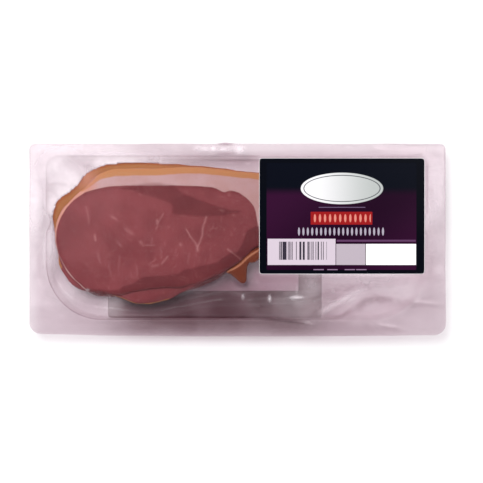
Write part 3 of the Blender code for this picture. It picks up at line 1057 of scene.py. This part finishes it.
# Folds in the lid film: points along each, half width, height.
FOLDS = (
    (((52.0, -51.0), (60.0, -47.5), (68.0, -45.0), (76.0, -40.5), (88.0, -36.5), (104.0, -37.0)), 1.5, 0.8),
    (((36.0, -37.0), (46.0, -36.0), (58.0, -31.0), (70.0, -28.0), (84.0, -24.5)), 1.4, 0.9),
    (((34.0, -45.0), (46.0, -43.0), (56.0, -38.0), (66.0, -33.0)), 1.2, 0.8),
    (((33.5, -34.5), (37.5, -36.2), (41.0, -35.6)), 0.7, 0.9),
    (((84.0, -38.0), (100.0, -38.8), (117.0, -40.0), (129.0, -41.0)), 1.8, 0.35),
    (((70.0, -55.0), (84.0, -53.0), (96.0, -54.5), (112.0, -57.5)), 1.6, 0.25),
    (((13.0, -48.0), (23.4, -49.4), (31.5, -50.0), (39.0, -51.2), (46.0, -53.2)), 1.3, 1.0),
    (((-86.3, 34.0), (-77.6, 37.7), (-67.0, 39.3), (-58.9, 37.4), (-54.0, 34.6)), 0.6, 0.22),
    (((-119.0, 35.6), (-112.0, 36.2), (-105.0, 34.8)), 0.8, 0.5),
    (((-106.0, 51.0), (-100.0, 47.0), (-97.0, 41.0), (-98.5, 36.5)), 1.0, 0.6),
    (((-27.0, 57.6), (-20.0, 58.3), (-14.0, 57.4)), 1.0, 0.45),
    (((-2.0, 57.6), (2.0, 58.2), (5.0, 57.2)), 0.9, 0.45),
)


def land_height(points):
    """The taut lid under the front label: level, and a little lower at the label's lower edge."""
    droop = smoothstep(-points[:, 1], -10.0, 24.0)
    return LAND_TOP - 0.45 * droop


def fold_height(points):
    height = np.zeros(len(points))
    for places, half_width, rise in FOLDS:
        line = smooth_open(places, 5)
        gap, nearest, part = to_segments(points, line, closed=False)
        along = (nearest + part) / (len(line) - 1)
        taper = np.sqrt(np.clip(np.sin(math.pi * np.clip(along, 0.02, 0.98)), 0, 1))
        height += rise * taper * np.exp(-np.abs(gap / half_width) ** 1.5)
    return height


class Lid:
    """The lid film's height, relaxed on a grid: taut over the rim, the stack and the label."""

    step = 0.75

    def __init__(self):
        self.x = np.arange(PACK_LOW[0] - 1, PACK_HIGH[0] + 1, self.step)
        self.y = np.arange(PACK_LOW[1] - 1, PACK_HIGH[1] + 1, self.step)
        across, up = np.meshgrid(self.x, self.y)
        points = np.column_stack((across.ravel(), up.ravel()))
        shape = across.shape
        stack = packed_top(points)
        held = stack > STACK_BOTTOM + 0.3
        least = np.where(held, stack + FILM + 0.10, FLOOR_TOP + FILM + 0.25)
        outside = pocket_depth(points) < 0
        label = label_depth(points, FRONT_LOW, FRONT_HIGH, 1.6, LAND_MARGIN) > 0
        fixed = (outside | label).reshape(shape)
        start = np.where(outside, RIM_TOP, land_height(points)).reshape(shape)
        height = np.where(fixed, start, 12.0)
        least = least.reshape(shape)
        near_corner = np.exp(-(((points[:, 0] + 108) / 17) ** 2) - ((points[:, 1] - 42) / 19) ** 2)
        fall = (SUCTION * self.step**2 / 4 * (1 - 0.9 * near_corner)).reshape(shape)
        for _ in range(900):
            around = np.roll(height, 1, 0) + np.roll(height, -1, 0)
            around += np.roll(height, 1, 1) + np.roll(height, -1, 1)
            height = np.where(fixed, start, np.maximum(around / 4 - fall, least))
        self.height = height

    def at(self, points):
        """Bilinear heights at the points."""
        u = np.clip((points[:, 0] - self.x[0]) / self.step, 0, len(self.x) - 1.001)
        v = np.clip((points[:, 1] - self.y[0]) / self.step, 0, len(self.y) - 1.001)
        i, j = u.astype(int), v.astype(int)
        s, t = u - i, v - j
        grid = self.height
        return (
            grid[j, i] * (1 - s) * (1 - t)
            + grid[j, i + 1] * s * (1 - t)
            + grid[j + 1, i] * (1 - s) * t
            + grid[j + 1, i + 1] * s * t
        )


def rim_wave(points):
    """The sealed rim isn't quite flat. Both films share its waves."""
    inside = pocket_depth(points)
    wave = 0.35 * wander(points, 40.0, 60.0) + 0.14 * wander(points, 13.0, 61.0)
    return wave * smoothstep(-inside, 0.0, 5.0)


def film_piece(name, plan, faces, heights, film, attributes):
    piece = make_piece(name, np.column_stack((plan, heights)), faces, [film], attributes)
    skin = piece.modifiers.new("film", "SOLIDIFY")
    skin.thickness = FILM * MM
    skin.offset = -1
    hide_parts("sealed_pack")
    return piece


# Where the lid film is made duller and paler, as a painted reflection: middle, reach along and across, strength.
REFLECTION_PATCHES = (
    (74.0, -36.0, 30.0, 12.0, 0.14),
    (98.0, -30.0, 22.0, 10.0, 0.20),
    (-76.0, -40.0, 8.0, 9.0, 0.18),
    (84.0, -24.0, 24.0, 4.0, 0.35),
    (46.0, -25.0, 8.0, 12.0, 0.28),
    (40.0, -38.0, 13.0, 12.0, 0.14),
    (-108.0, 40.0, 16.0, 17.0, 0.95),
    (-84.0, 50.5, 34.0, 5.0, 0.75),
    (-116.0, 25.0, 6.0, 13.0, 0.7),
    (-126.0, 24.0, 6.0, 22.0, 0.7),
    (-117.5, 0.0, 4.5, 20.0, 0.35),
    (-105.0, -30.0, 13.0, 10.0, 0.16),
    (123.0, 22.0, 9.0, 30.0, 0.25),
)
# Painted shade and painted dark reflections on the lid film, given in the same way.
SHADE_PATCHES = (
    (58.0, -36.0, 11.0, 7.0, 1.1),
    (52.0, -46.0, 12.0, 4.0, 0.6),
    (-7.5, 60.2, 4.5, 1.0, 1.5),
    (-8.0, 54.0, 7.0, 1.2, 0.9),
    (-20.0, -54.5, 66.0, 5.0, 0.6),
    (-20.0, -50.4, 60.0, 2.8, 1.2),
    (66.0, -54.5, 34.0, 6.0, 0.75),
    (119.0, -14.0, 6.0, 34.0, 0.35),
)
# Painted shade and painted reflections: soft dark and pale streaks in the crumpled film. Points along each, half
# width, strength.
DARK_STREAKS = (
    (((54.6, -48.9), (63.3, -47.7), (70.1, -44.6), (74.5, -42.7)), 1.5, 1.2),
    (((72.0, -43.6), (76.5, -41.0), (80.1, -38.3), (85.1, -36.8), (91.3, -36.5), (98.8, -37.4)), 2.4, 1.4),
    (((10.0, -48.6), (18.0, -48.9), (26.5, -49.6), (35.9, -50.4), (42.1, -51.3), (48.7, -52.4)), 1.4, 2.4),
    (((45.8, -37.1), (51.4, -35.2), (55.2, -32.1), (58.3, -29.0)), 2.6, 0.8),
    (((63.9, -35.2), (68.9, -30.9), (73.9, -28.4)), 1.6, 0.7),
    (((78.9, -53.9), (92.0, -54.6), (105.0, -56.4)), 2.4, 0.7),
    (((96.0, -38.0), (106.0, -39.2), (116.0, -39.8), (128.0, -41.0)), 2.2, 0.6),
    (((-119.0, 35.6), (-112.0, 36.2), (-105.0, 34.8)), 0.9, 0.7),
    (((-112.0, 49.0), (-104.0, 45.5), (-98.0, 41.0), (-97.0, 36.0)), 0.9, 0.7),
)
PALE_STREAKS = (
    (((48.9, -47.1), (57.7, -42.1), (67.0, -37.1), (76.4, -32.1), (88.8, -28.4)), 2.4, 0.3),
    (((60.0, -30.4), (60.5, -33.4)), 1.4, 0.3),
    (((76.0, -22.6), (90.0, -22.4), (112.0, -22.6)), 1.2, 0.4),
    (((77.2, -25.6), (84.0, -26.8)), 2.0, 0.5),
    (((-86.3, 34.0), (-77.6, 37.7), (-67.0, 39.3), (-58.9, 37.4), (-54.0, 34.6)), 0.7, 0.1),
)
# Painted glints: where the lid film is turned white in small spots, given in the same way.
GLINT_SPOTS = (
    (-20.5, 57.4, 5.0, 1.3, 0.6),
    (-15.2, 57.4, 2.0, 1.3, 0.9),
    (-8.5, 57.0, 3.6, 0.9, 0.5),
    (1.2, 57.2, 2.4, 1.9, 0.9),
    (3.4, -35.2, 0.7, 1.5, 0.3),
    (20.3, -36.5, 0.8, 1.9, 0.45),
    (37.1, -35.9, 4.2, 1.1, 0.6),
    (37.4, -30.5, 1.0, 5.0, 0.25),
    (-93.5, -31.2, 1.0, 0.8, 0.35),
)


def patch_sum(plan, patches):
    strongest = np.zeros(len(plan))
    for x, y, wide, high, strength in patches:
        away = ((plan[:, 0] - x) / wide) ** 2 + ((plan[:, 1] - y) / high) ** 2
        strongest = np.maximum(strongest, strength * np.exp(-away))
    return strongest


def streak_sum(plan, streaks):
    """The strongest streak at each point; each one fades at its ends."""
    strongest = np.zeros(len(plan))
    for places, half_width, strength in streaks:
        line = smooth_open(places, 5)
        gap, nearest, part = to_segments(plan, line, closed=False)
        along = (nearest + part) / (len(line) - 1)
        taper = np.sqrt(np.clip(np.sin(math.pi * np.clip(along, 0.02, 0.98)), 0, 1))
        strongest = np.maximum(strongest, strength * taper * np.exp(-((gap / half_width) ** 2)))
    return strongest


def crumple(points):
    """Sharp random creases in the loose lid film below the front label."""
    ridges = (1 - np.abs(wander(points + 0.2 * points[:, ::-1], 21.0, 63)) * 1.6).clip(0, 1) ** 3
    fine = (1 - np.abs(wander(points, 11.0, 64)) * 1.6).clip(0, 1) ** 3
    where = smoothstep(points[:, 0], 22.0, 48.0) * smoothstep(points[:, 1], -20.0, -26.0)
    return where * (0.6 * ridges + 0.3 * fine)


def detail_height(points):
    """Folds, waves and creases, apart from the lid film's main shape."""
    inside = pocket_depth(points)
    loose = smoothstep(inside, 1.0, 6.0)
    return fold_height(points) + loose * (0.12 * wander(points, 6.0, 62) + crumple(points))


def steepness(points):
    """How steep the small folds and creases are: the film gets painted shade there."""
    step = 0.4
    here = detail_height(points)
    across = detail_height(points + (step, 0)) - here
    up = detail_height(points + (0, step)) - here
    return np.hypot(across, up) / step


def make_lid(film):
    rim = evenly(rim_outline(), 1.3)
    rings = [evenly(pocket_outline(inset), 1.3) for inset in (-0.7, 0.0, 0.35, 0.8, 1.9)]
    rings.append(evenly(label_outline(FRONT_LOW, FRONT_HIGH, 1.6, LAND_MARGIN), 1.3))
    plan, faces = filled(rim, rings, 1.2)
    lid = Lid()
    inside = pocket_depth(plan)
    label = label_depth(plan, FRONT_LOW, FRONT_HIGH, 1.6, LAND_MARGIN)
    heights = lid.at(plan)
    stack = packed_top(plan)
    cling = smoothstep(heights - stack, 7.0, 3.0) * (stack > STACK_BOTTOM + 0.6)
    heights = np.where(label > -0.01, land_height(plan), heights)
    heights = np.where(inside < 0.02, RIM_TOP, heights)
    free = smoothstep(-label, 0.0, 3.0)
    heights += free * (1 - 0.9 * cling) * (detail_height(plan) + rim_wave(plan))
    # Painted shade on the lid film: a dark line along the pocket's rim, the steep creases, the top rim, and the shade
    # patches and streaks; less crease shade in the bright top left.
    rim_line = np.exp(-(((inside - 0.35) / 0.28) ** 2))
    crease = smoothstep(steepness(plan), 0.14, 0.9) * (inside > -0.5)
    top_rim = smoothstep(plan[:, 1], 50.0, 54.0) * (inside < 0)
    top_rim *= np.interp(plan[:, 0], (-70, -60, -20, 0, 20, 80, 95, 130), (0, 0.35, 0.35, 0, 0, 0.1, 0.4, 0.3))
    bright = np.exp(-(((plan[:, 0] + 105) / 40) ** 2) - ((plan[:, 1] - 40) / 24) ** 2)
    patches = np.maximum(patch_sum(plan, SHADE_PATCHES), streak_sum(plan, DARK_STREAKS))
    rim_line *= 1 - smoothstep(plan[:, 0], 40.0, 60.0) * smoothstep(plan[:, 1], -5.0, -25.0)
    shade = np.maximum.reduce((1.1 * rim_line, crease * (1 - 0.5 * bright), top_rim, patches))
    calm = smoothstep(plan[:, 1], -30.0, -38.0) * smoothstep(plan[:, 0], 14.0, 2.0)
    cling = np.maximum(cling, 0.95 * calm * (inside > 0.5) * smoothstep(plan[:, 0], -84.0, -64.0))
    attributes = {
        "cling": cling,
        "shade": shade * free,
        "milky_sheen": np.maximum(patch_sum(plan, REFLECTION_PATCHES), streak_sum(plan, PALE_STREAKS)),
        "white": patch_sum(plan, GLINT_SPOTS),
    }
    return film_piece("lid_film", plan, faces, heights, film, attributes)


def make_tray(film):
    rim = evenly(offset(rim_outline(), -0.12), 1.6)
    foot = POCKET_DRAFT + FLOOR_FILLET
    insets = (-0.7, 0.0, 0.35, 0.8, POCKET_DRAFT, POCKET_DRAFT + 0.35, foot, foot + 1.2)
    rings = [evenly(pocket_outline(inset), 1.6) for inset in insets]
    plan, faces = filled(rim, rings, 1.7)
    inside = pocket_depth(plan)
    under_rim = RIM_TOP - FILM - 0.05
    wall = under_rim + (FLOOR_FILLET + FLOOR_TOP - under_rim) * np.clip(inside / POCKET_DRAFT, 0, 1)
    round_share = np.clip((inside - POCKET_DRAFT) / FLOOR_FILLET, 0, 1)
    fillet = FLOOR_TOP + FLOOR_FILLET * (1 - np.sqrt(1 - (1 - round_share) ** 2))
    heights = np.where(inside <= 0.01, under_rim, np.where(inside < POCKET_DRAFT, wall, fillet))
    heights += rim_wave(plan) + np.where(inside < 0.5, fold_height(plan), 0)
    attributes = {key: np.zeros(len(plan)) for key in ("cling", "milky_sheen", "white")}
    attributes["shade"] = 0.3 * smoothstep(inside, -0.1, 0.3) * smoothstep(inside, foot + 0.4, foot)
    return film_piece("tray_film", plan, faces, heights, film, attributes)


# ---------------------------------------------------------------- labels


def make_front_label(ink, paper):
    """The front label: a thin sheet with a narrow white edge, lying on the lid."""
    outline = evenly(label_outline(FRONT_LOW, FRONT_HIGH, 1.6), 1.0)
    edge = evenly(label_outline(FRONT_LOW, FRONT_HIGH, 1.6, -0.2), 1.0)
    plan, faces = filled(outline, [edge], 3.0)
    top = land_height(plan) + 0.30
    points, body, _ = slab(plan, faces, top - 0.16, top, 0.0)
    piece = make_piece("label_front", points, body, [ink, paper])
    centres = np.array([points[list(face)].mean(0) for face in body])
    printed = (depth_in(centres[:, :2], edge) > 0) & (centres[:, 2] > LAND_TOP - 0.6 + 0.3)
    for polygon, is_printed in zip(piece.data.polygons, printed):
        polygon.material_index = 0 if is_printed and polygon.normal.z > 0.5 else 1
    piece.data.set_sharp_from_angle(angle=math.radians(40))
    piece.visible_shadow = False
    piece.visible_diffuse = False
    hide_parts("front_label")
    return piece


def make_rear_label(ink, back, paper):
    """The rear label, under the tray: printed below, stuck side up."""
    outline = evenly(label_outline(REAR_LOW, REAR_HIGH, 2.0), 1.5)
    plan, faces = filled(outline, [], 4.0)
    top = np.full(len(plan), 0.30)
    points, body, _ = slab(plan, faces, top - 0.22, top, 0.0)
    piece = make_piece("label_rear", points, body, [ink, back, paper])
    for polygon in piece.data.polygons:
        flat = abs(polygon.normal.z) > 0.5
        polygon.material_index = (1 if polygon.normal.z > 0 else 0) if flat else 2
    piece.data.set_sharp_from_angle(angle=math.radians(40))
    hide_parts("rear_label")
    return piece


# ---------------------------------------------------------------- stage, light and camera


def make_floor():
    """A white floor, a little darker in the soft shade under the pack's lower rim."""
    mesh = bpy.data.meshes.new("floor")
    size = 3.0
    corners = [(-size, -size, 0), (size, -size, 0), (size, size, 0), (-size, size, 0)]
    mesh.from_pydata(corners, [], [(0, 1, 2, 3)])
    made, tree = start_material("floor_white")
    place = object_millimetres(tree)
    speck = texture_noise(tree, place, 0.01, 2.0)
    tone = blend_colours(tree, speck, (0.93, 0.93, 0.93, 1), (0.91, 0.91, 0.91, 1))
    parts = add(tree, "ShaderNodeSeparateXYZ", {0: place})
    left = band(tree, parts.outputs[0], REAR_LOW[0] - 12, REAR_LOW[0] + 30)
    right = band(tree, parts.outputs[0], REAR_HIGH[0] + 16, REAR_HIGH[0] - 18)
    above = band(tree, parts.outputs[1], PACK_LOW[1] + 27, PACK_LOW[1] + 13)
    below = band(tree, parts.outputs[1], PACK_LOW[1] - 6, PACK_LOW[1] + 8)
    shade = calc(tree, "MULTIPLY", calc(tree, "MULTIPLY", left, right), below)
    shade = calc(tree, "MULTIPLY", calc(tree, "MULTIPLY", shade, above), 0.80)
    tone = blend_colours(tree, shade, tone, (0.18, 0.080, 0.09, 1))
    shader = add(tree, "ShaderNodeBsdfDiffuse", {"Color": tone})
    finish_material(tree, shader.outputs[0])
    mesh.materials.append(made)
    floor = bpy.data.objects.new("floor", mesh)
    bpy.context.scene.collection.objects.link(floor)


def aimed(made, place, target):
    made.location = place
    made.rotation_euler = (Vector(target) - Vector(place)).to_track_quat("-Z", "Y").to_euler()
    bpy.context.scene.collection.objects.link(made)
    return made


def area_light(name, place, target, size, power, colour=(1, 1, 1)):
    data = bpy.data.lights.new(name, "AREA")
    data.shape = "RECTANGLE"
    data.size, data.size_y = size
    data.energy = power
    data.color = colour
    light = aimed(bpy.data.objects.new(name, data), place, target)
    light.visible_camera = False
    return light


def make_light():
    """A key light from above left, and three soft panels that the film mirrors."""
    key = area_light("key", (-0.30, 0.55, 1.30), (0, 0, 0), (0.7, 0.6), 17.2)
    key.visible_glossy = False
    area_light("left_box", (-0.40, 0.23, 1.32), (-0.40, 0.23, 0), (0.48, 0.52), 0.80)
    area_light("right_box", (0.42, 0.295, 1.32), (0.42, 0.295, 0), (0.44, 0.50), 1.15)
    area_light("wide_box", (0.0, 0.24, 1.40), (0.0, 0.24, 0), (1.7, 0.56), 0.8)
    world = bpy.data.worlds.new("studio")
    world.use_nodes = True
    tree = world.node_tree
    tree.nodes.clear()
    way = add(tree, "ShaderNodeTexCoord").outputs["Generated"]
    up = add(tree, "ShaderNodeSeparateXYZ", {0: way}).outputs[2]
    tone = blend_colours(
        tree, band(tree, up, 0.5, 0.95), (0.66, 0.66, 0.67, 1), (0.25, 0.25, 0.255, 1)
    )
    sky = add(tree, "ShaderNodeBackground", {"Color": tone, "Strength": 1.0})
    add(tree, "ShaderNodeOutputWorld", {"Surface": sky.outputs[0]})
    bpy.context.scene.world = world


def make_camera():
    """Straight above the pack, with a long lens."""
    data = bpy.data.cameras.new("camera")
    data.lens = 119.6
    data.sensor_width = 36.0
    data.clip_start = 0.01
    camera = bpy.data.objects.new("camera", data)
    camera.location = (2.5 * MM, -0.6 * MM, 1.014)
    bpy.context.scene.collection.objects.link(camera)
    bpy.context.scene.camera = camera


def build():
    scene = bpy.context.scene
    scene.view_settings.view_transform = "Standard"
    scene.cycles.transparent_max_bounces = 32

    bacon = bacon_material()
    tint = (0.948, 0.919, 0.933, 1)
    for number in range(len(STACK)):
        make_rasher(number, bacon)
    make_flap(bacon)
    make_lid(film_material("lid_clear", tint, 0.030))
    make_tray(film_material("tray_clear", tint, 0.030))
    paper = plain_material("label_paper", (0.86, 0.84, 0.86, 1), 0.5)
    make_front_label(front_print_material(), paper)
    make_rear_label(rear_print_material(), rear_back_material(), paper)
    make_floor()
    make_light()
    make_camera()


build()
